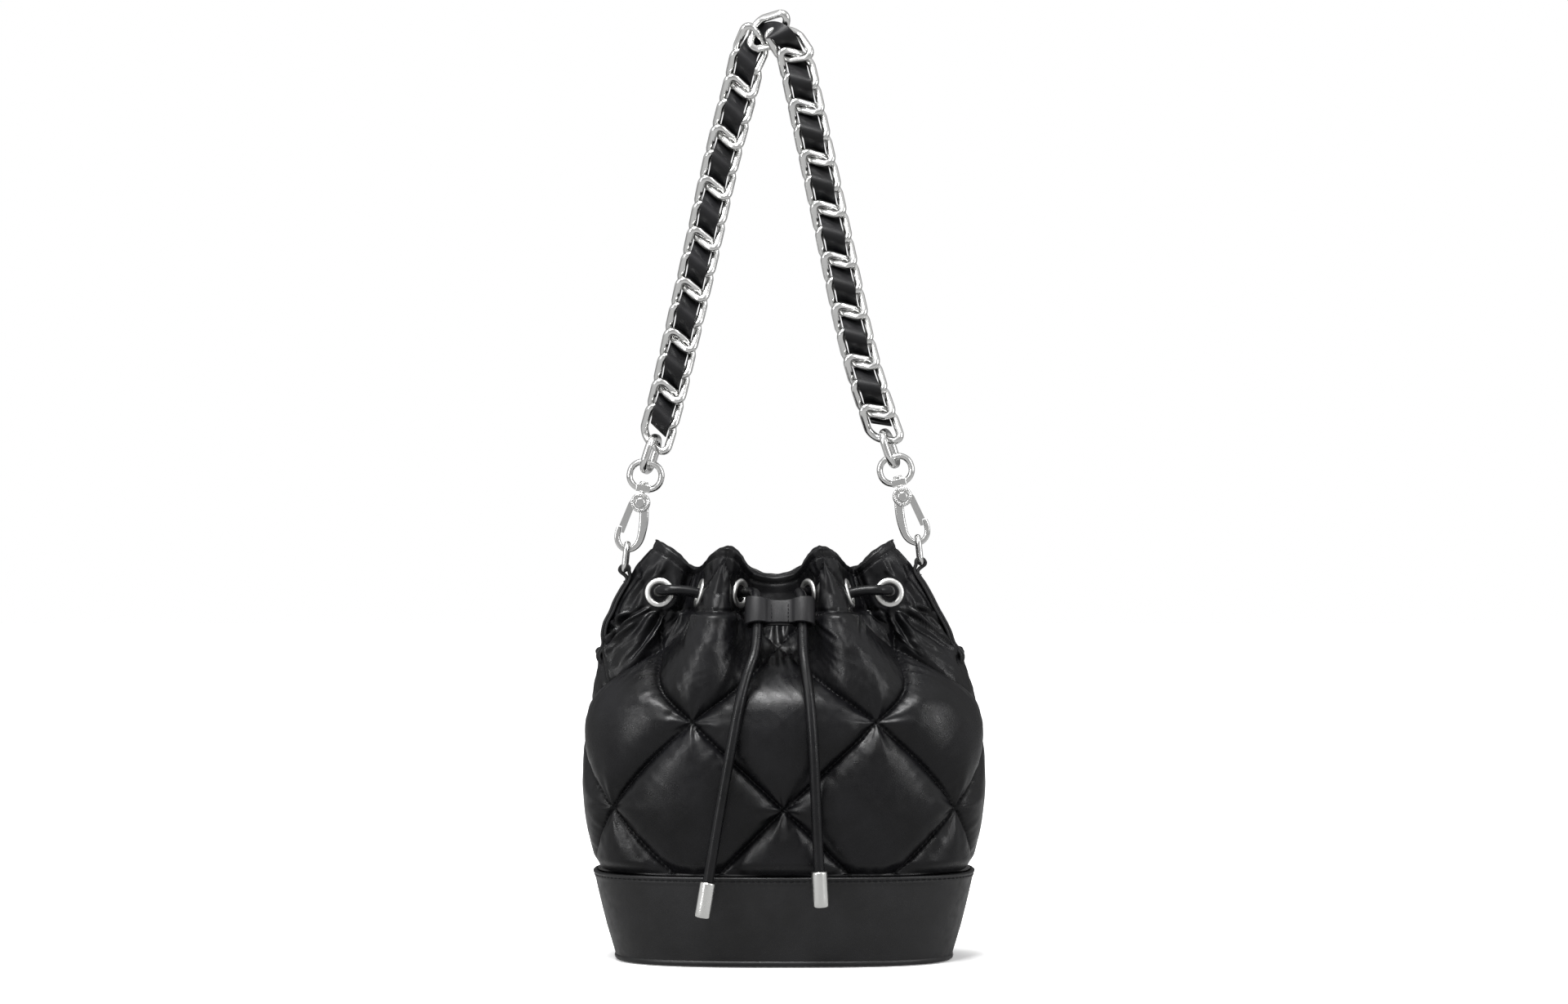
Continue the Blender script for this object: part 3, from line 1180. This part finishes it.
# ------------------------------------------------------------------ chain strap
STRAP_LINE = [
    (-59.0, 250.0), (-49.0, 290.3), (-38.2, 337.0), (-27.8, 382.9), (-18.2, 420.0), (-14.0, 431.5),
    (-6.0, 437.0), (2.2, 431.0), (6.6, 419.0), (15.4, 378.3), (26.2, 327.3), (37.8, 277.0), (46.5, 250.0),
]
FORWARD = np.array([0.0, -1.0, 0.0])
LINK_HALF = (8.05, 6.8)
LINK_SHEAR = 0.52
LINK_TWIST = 4.0
END_LINK_ROLL = 75.0
LINK_CORNER_TRIM = 5.4
END_REACH = LINK_HALF[0] - 3.7
STRIP_WAVE = 5.3


def strap_path():
    """The strap's centre line between its two swivel rings, and the length along it."""
    ends = [clasp_place(name, [(0.0, 0.0, 6.25)])[0] for name in ("left", "right")]
    knots = np.array([ends[0]] + [(x, 0.0, z) for x, z in STRAP_LINE] + [ends[1]])
    step = np.concatenate([[0.0], np.cumsum(np.linalg.norm(np.diff(knots, axis=0), axis=1))])
    fine = spline_through(step, knots, np.linspace(0.0, step[-1], 4001))
    length = np.concatenate([[0.0], np.cumsum(np.linalg.norm(np.diff(fine, axis=0), axis=1))])
    return fine, length


def spline_through(knots, values, wanted):
    """Natural-ended cubic spline through the strap's points."""
    n = len(knots)
    h = np.diff(knots)
    matrix = np.zeros((n, n))
    right = np.zeros((n, values.shape[1]))
    matrix[0, 0] = matrix[-1, -1] = 1.0
    for i in range(1, n - 1):
        matrix[i, i - 1:i + 2] = h[i - 1], 2.0 * (h[i - 1] + h[i]), h[i]
        right[i] = 6.0 * ((values[i + 1] - values[i]) / h[i] - (values[i] - values[i - 1]) / h[i - 1])
    bend = np.linalg.solve(matrix, right)
    i = np.clip(np.searchsorted(knots, wanted) - 1, 0, n - 2)
    a = ((knots[i + 1] - wanted) / h[i])[:, None]
    b = 1.0 - a
    curved = ((a ** 3 - a) * bend[i] + (b ** 3 - b) * bend[i + 1]) * (h[i] ** 2)[:, None] / 6.0
    return a * values[i] + b * values[i + 1] + curved


STRAP, STRAP_AT = strap_path()


def strap_frame(distance):
    """Place, heading and the way across the chain, at distances along the strap."""
    distance = np.atleast_1d(distance)

    def at(d):
        return np.stack([np.interp(d, STRAP_AT, STRAP[:, k]) for k in range(3)], axis=-1)

    heading = unit(at(distance + 0.4) - at(distance - 0.4))
    across = np.stack([-heading[:, 2], np.zeros(len(distance)), heading[:, 0]], axis=-1)
    return at(distance), heading, across


def link_loop(half_length, half_width, twist, trim):
    """Centre line of one link in its own frame (along, across, forward): a rectangle with its
    corners bent forward and back in turn and rounded into the runs."""
    signs = ((1, 1), (-1, 1), (-1, -1), (1, -1))
    corners = [np.array([x * half_length, y * half_width, x * y * twist]) for x, y in signs]
    loop = []
    for k, corner in enumerate(corners):
        before = unit(corners[k - 1] - corner)
        after = unit(corners[(k + 1) % 4] - corner)
        half_turn = 0.5 * (np.pi - np.arccos(before @ after))
        radius = trim / np.tan(half_turn)
        centre = corner + unit(before + after) * radius / np.cos(half_turn)
        start = corner + before * trim - centre
        swing = unit(after * trim + corner - centre - start * np.cos(2.0 * half_turn)) * radius
        for t in np.linspace(0.0, 2.0 * half_turn, 12):
            loop.append(centre + start * np.cos(t) + swing * np.sin(t))
    return smooth_line(loop, 60, closed=True)


def link_pitch(count):
    """Distance from link to link when the strap has this many."""
    return (STRAP_AT[-1] - 2.0 * END_REACH) / (count - 1)


def chain_link(index, count, wire):
    """One curb link: twisted loop of wire, filed flatter on its faces."""
    middle, heading, across = (v[0] for v in strap_frame(END_REACH + link_pitch(count) * index))
    front = FORWARD
    twist, shear, square = LINK_TWIST, LINK_SHEAR, 2.5
    if index in (0, count - 1):
        twist, shear, square = 0.0, 0.0, 2.0
        roll = np.radians(END_LINK_ROLL if index == 0 else -END_LINK_ROLL)
        c, s = np.cos(roll), np.sin(roll)
        across, front = across * c + front * s, front * c - across * s
    loop = link_loop(LINK_HALF[0], LINK_HALF[1], twist, LINK_CORNER_TRIM)
    along = loop[:, :1] + shear * loop[:, 1:2]
    path = middle + along * heading + loop[:, 1:2] * across + loop[:, 2:] * front
    tangent = headings(path, closed=True)
    outward = path - middle
    outward = unit(outward - (outward * tangent).sum(-1, keepdims=True) * tangent)
    lift = np.cross(tangent, outward)
    turn = 2.0 * np.pi * np.arange(20) / 20
    radius = 0.5 * wire / (np.abs(np.cos(turn)) ** square + np.abs(np.sin(turn)) ** square) ** (1.0 / square)
    section = np.stack([np.cos(turn) * radius, np.sin(turn) * radius], axis=-1)
    return sweep(path, outward, lift, section, closed=True)


class BAG_OT_chain(bpy.types.Operator):
    """Curb chain, plated and polished"""
    bl_idname = "bag.chain"
    bl_label = "Chain"

    def execute(self, context):
        sizes = context.scene.bag_sizes
        sections = sorted(name for name in NODES if name.startswith("chain_section"))
        links = [chain_link(i, sizes.link_count, sizes.link_wire / MM) for i in range(sizes.link_count)]
        each = -(-sizes.link_count // len(sections))
        for k, node in enumerate(sections):
            points, faces = join(links[k * each:(k + 1) * each])
            links_here = mesh_object("curb_links_%02d" % (k + 1), points, faces, [finish_of("bright")])
            place(links_here, "strap", "polished_nickel", node)
        return {"FINISHED"}


class BAG_OT_strip(bpy.types.Operator):
    """Leather strip laced through the chain, with its ends folded round the end links"""
    bl_idname = "bag.strip"
    bl_label = "Laced strip"

    def execute(self, context):
        sizes = context.scene.bag_sizes
        count = sizes.link_count
        pitch = link_pitch(count)
        first = END_REACH + pitch
        last = END_REACH + pitch * (count - 2)
        steps = 14 * (count - 3)
        distance = np.linspace(first, last, steps + 1)
        middle, heading, across = strap_frame(distance)
        phase = np.pi * (distance - first) / pitch
        path = middle + np.sin(phase)[:, None] * FORWARD * STRIP_WAVE
        tangent = headings(path)
        lift = unit(np.cross(across, tangent))
        width = sizes.strip_width / MM - 0.5 * np.cos(phase) ** 2
        section = np.stack([rounded_section(w, 1.5, 0.45, 4) for w in width])
        cup = 0.35 * np.sin(phase)[:, None] * (section[..., 0] / 4.7) ** 2
        section = np.stack([section[..., 0], section[..., 1] - cup], axis=-1)
        points, faces = sweep(path, across + LINK_SHEAR * heading, lift, section)
        strip = mesh_object("laced_strip", points, faces, [finish_of("strip")])
        place(strip, "strap", "strap_leather", "strap_strip")
        return {"FINISHED"}


# ------------------------------------------------------------------ studio
CAMERA_LENS = 106.9
CAMERA_AT = (0.0, -2.2, 0.2146)
FLOOR_CORNERS = [(-4000, -4000, -0.4), (4000, -4000, -0.4), (4000, 6000, -0.4), (-4000, 6000, -0.4)]
FLOOR_BRIGHT = 0.8
FLOOR_MIRRORED = 0.34
SHADOW_INNER = 0.0795
SHADOW_OUTER = 0.128
SURROUND_DIFFUSE = 0.40
# Softboxes as (name, place, aim, width, height, share of the lamp power), in metres.
SOFTBOXES = (
    ("softbox_top", (-0.15, -0.45, 1.15), (0.0, 0.0, 0.1), 0.6, 0.25, 1.9),
    ("softbox_left", (-1.1, -1.0, 0.6), (0.0, 0.0, 0.15), 0.16, 0.9, 0.85),
    ("softbox_right", (1.15, -0.8, 0.65), (0.0, 0.0, 0.15), 0.16, 0.9, 0.75),
    ("softbox_front", (-0.3, -1.5, 1.25), (0.0, 0.0, 0.12), 0.3, 0.15, 0.6),
)


def softbox(name, place_at, aim, width, height, power):
    """Rectangular area lamp turned to its aim."""
    light = bpy.data.lights.new(name, "AREA")
    light.shape = "RECTANGLE"
    light.size = width
    light.size_y = height
    light.energy = power
    lamp = bpy.data.objects.new(name, light)
    lamp.location = place_at
    lamp.rotation_euler = (Vector(aim) - Vector(place_at)).to_track_quat("-Z", "Y").to_euler()
    bpy.context.scene.collection.objects.link(lamp)


def studio_camera(scene):
    """Long lens, level with the middle of the bag and its strap."""
    camera = bpy.data.cameras.new("camera")
    camera.lens = CAMERA_LENS
    camera.sensor_width = 36.0
    view = bpy.data.objects.new("camera", camera)
    view.location = CAMERA_AT
    view.rotation_euler = (0.5 * np.pi, 0.0, 0.0)
    scene.collection.objects.link(view)
    scene.camera = view


def paper_floor():
    """Matte white paper: it glows a little away from the bag, so that it joins the white
    surround, and is dimmer in reflections, so that the plated metal keeps dark edges."""
    floor = mesh_object("floor", FLOOR_CORNERS, [(0, 1, 2, 3)], [])
    material = bpy.data.materials.new("Matte white paper floor")
    material.use_nodes = True
    tree = material.node_tree
    tree.nodes.clear()
    rays = add_node(tree, "ShaderNodeLightPath")
    mirrored = add_node(tree, "ShaderNodeMath", {"operation": "MAXIMUM"}, {
        0: (rays, "Is Glossy Ray"), 1: (rays, "Is Transmission Ray")})
    shade = add_node(tree, "ShaderNodeMapRange", None, {
        "Value": (mirrored, "Value"), "To Min": FLOOR_BRIGHT, "To Max": FLOOR_MIRRORED})
    paper = add_node(tree, "ShaderNodeBsdfDiffuse", None, {"Color": (shade, "Result"), "Roughness": 0.5})
    spot = add_node(tree, "ShaderNodeTexCoord")
    oval = add_node(tree, "ShaderNodeVectorMath", {"operation": "MULTIPLY"}, {
        0: (spot, "Object"), 1: (1.0, 1.45, 0.0)})
    away = add_node(tree, "ShaderNodeVectorMath", {"operation": "LENGTH"}, {0: (oval, "Vector")})
    fill = add_node(tree, "ShaderNodeMapRange", {"interpolation_type": "SMOOTHSTEP"}, {
        "Value": (away, "Value"), "From Min": SHADOW_INNER, "From Max": SHADOW_OUTER,
        "To Min": 0.2, "To Max": 1.0})
    direct = add_node(tree, "ShaderNodeMath", {"operation": "MULTIPLY"}, {
        0: (rays, "Is Camera Ray"), 1: (fill, "Result")})
    dim = add_node(tree, "ShaderNodeMath", {"operation": "MULTIPLY"}, {0: (mirrored, "Value"), 1: 0.15})
    lift = add_node(tree, "ShaderNodeMath", {"operation": "MAXIMUM"}, {
        0: (dim, "Value"), 1: (direct, "Value")})
    glow = add_node(tree, "ShaderNodeEmission", None, {"Strength": (lift, "Value")})
    both = add_node(tree, "ShaderNodeAddShader", None, {0: (paper, "BSDF"), 1: (glow, "Emission")})
    add_node(tree, "ShaderNodeOutputMaterial", None, {"Surface": (both, "Shader")})
    floor.data.materials.append(material)


def white_surround(scene):
    """White to the eye; in reflections darker behind the bag and a little darker in front of it."""
    world = bpy.data.worlds.new("studio")
    scene.world = world
    world.use_nodes = True
    tree = world.node_tree
    tree.nodes.clear()
    rays = add_node(tree, "ShaderNodeLightPath")
    seen = add_node(tree, "ShaderNodeMath", {"operation": "MAXIMUM"}, {
        0: (rays, "Is Camera Ray"), 1: (rays, "Is Transmission Ray")})
    way = add_node(tree, "ShaderNodeTexCoord")
    split = add_node(tree, "ShaderNodeSeparateXYZ", None, {"Vector": (way, "Generated")})
    near = add_node(tree, "ShaderNodeMapRange", {"interpolation_type": "SMOOTHSTEP"}, {
        "Value": (split, "Y"), "From Min": -1.0, "From Max": -0.45, "To Min": 0.56, "To Max": 0.88})
    far = add_node(tree, "ShaderNodeMapRange", {"interpolation_type": "SMOOTHSTEP"}, {
        "Value": (split, "Y"), "From Min": 0.1, "From Max": 0.8, "To Min": 1.0, "To Max": 0.22})
    back = add_node(tree, "ShaderNodeMath", {"operation": "MULTIPLY"}, {
        0: (near, "Result"), 1: (far, "Result")})
    mirrored = add_node(tree, "ShaderNodeMix", {"data_type": "FLOAT"}, {
        0: (rays, "Is Glossy Ray"), 2: SURROUND_DIFFUSE, 3: (back, "Value")})
    level = add_node(tree, "ShaderNodeMix", {"data_type": "FLOAT"}, {
        0: (seen, "Value"), 2: (mirrored, "Result"), 3: 1.0})
    surround = add_node(tree, "ShaderNodeBackground", None, {
        "Color": (1.0, 1.0, 1.0, 1.0), "Strength": (level, "Result")})
    add_node(tree, "ShaderNodeOutputWorld", None, {"Surface": (surround, "Background")})


class BAG_OT_studio(bpy.types.Operator):
    """Camera, pale floor, white surround and softboxes"""
    bl_idname = "bag.studio"
    bl_label = "Studio"

    def execute(self, context):
        scene = context.scene
        scene.view_settings.view_transform = "Standard"
        studio_camera(scene)
        paper_floor()
        white_surround(scene)
        for name, place_at, aim, width, height, share in SOFTBOXES:
            softbox(name, place_at, aim, width, height, scene.bag_looks.lamp_power * share)
        return {"FINISHED"}


ORDER = (
    ("studio", BAG_OT_studio), ("cords", BAG_OT_cords), ("wall", BAG_OT_wall),
    ("quilt_thread", BAG_OT_quilt_thread), ("base", BAG_OT_base), ("lining", BAG_OT_lining),
    ("eyelets", BAG_OT_eyelets), ("slider", BAG_OT_slider), ("tabs", BAG_OT_tabs),
    ("clasps", BAG_OT_clasps), ("chain", BAG_OT_chain), ("strip", BAG_OT_strip),
)


class BAG_PT_panel(bpy.types.Panel):
    """Sizes, colours and pieces of the bucket bag"""
    bl_idname = "BAG_PT_panel"
    bl_label = "Bucket bag"
    bl_space_type = "VIEW_3D"
    bl_region_type = "UI"
    bl_category = "Bucket bag"

    def draw(self, context):
        for group in (context.scene.bag_looks, context.scene.bag_sizes):
            for name in group.__annotations__:
                self.layout.prop(group, name)
        for name, operator in ORDER:
            self.layout.operator(operator.bl_idname, text=operator.bl_label)


CLASSES = (BagLooks, BagSizes, BAG_PT_panel) + tuple(operator for name, operator in ORDER)


def register():
    for kind in CLASSES:
        bpy.utils.register_class(kind)
    bpy.types.Scene.bag_looks = bpy.props.PointerProperty(type=BagLooks)
    bpy.types.Scene.bag_sizes = bpy.props.PointerProperty(type=BagSizes)


def unregister():
    del bpy.types.Scene.bag_sizes
    del bpy.types.Scene.bag_looks
    for kind in reversed(CLASSES):
        bpy.utils.unregister_class(kind)


def main():
    register()
    for name, operator in ORDER:
        getattr(bpy.ops.bag, name)()


if __name__ == "__main__":
    main()
